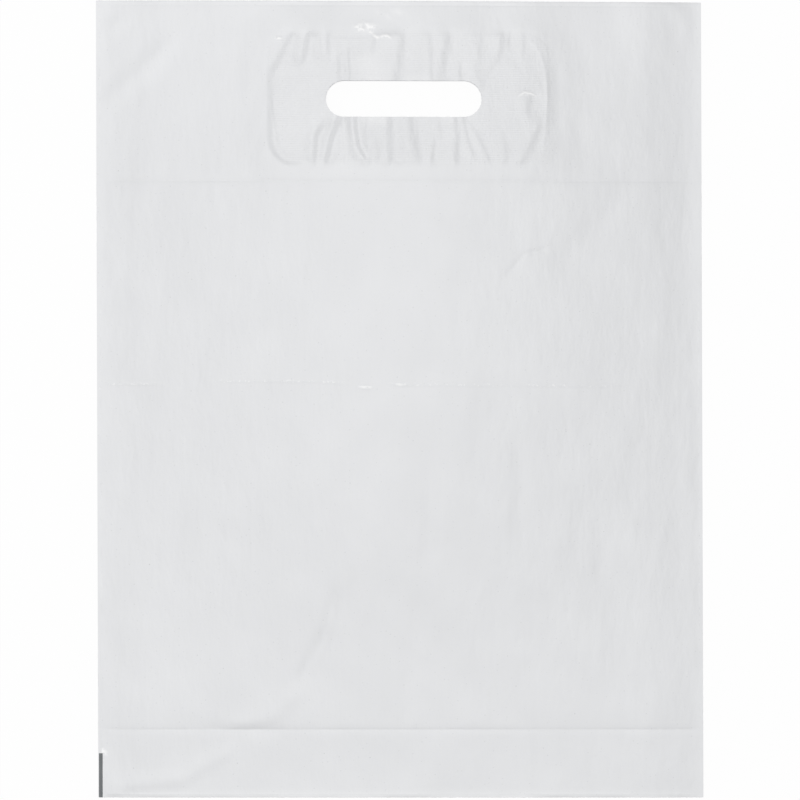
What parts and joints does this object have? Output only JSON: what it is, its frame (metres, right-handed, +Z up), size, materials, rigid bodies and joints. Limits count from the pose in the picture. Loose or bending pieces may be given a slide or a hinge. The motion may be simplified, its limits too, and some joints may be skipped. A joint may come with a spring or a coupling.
{
  "type": "plastic carrier bag",
  "caption": "Flat film carrier bag with a punched hand hole, turned-in top, glued handle patches, side welds and a bottom gusset, lying flat.",
  "frame": {"origin": "on the surface that the bag lies on, under the middle of its length and width", "axes": "+X across the bag, +Y along its length towards the mouth and the hand hole, +Z up through the layers, away from the surface it lies on"},
  "size_m": [0.35, 0.461, 0.0101],
  "materials": {
    "film": "satin pale grey low-density polyethylene film",
    "patch_film": "satin white polyethylene film with fine ribs"
  },
  "bodies": {
    "root": {"bag_film": "film", "front_handle_patch": "patch_film", "back_handle_patch": "patch_film"}
  },
  "joints": []
}
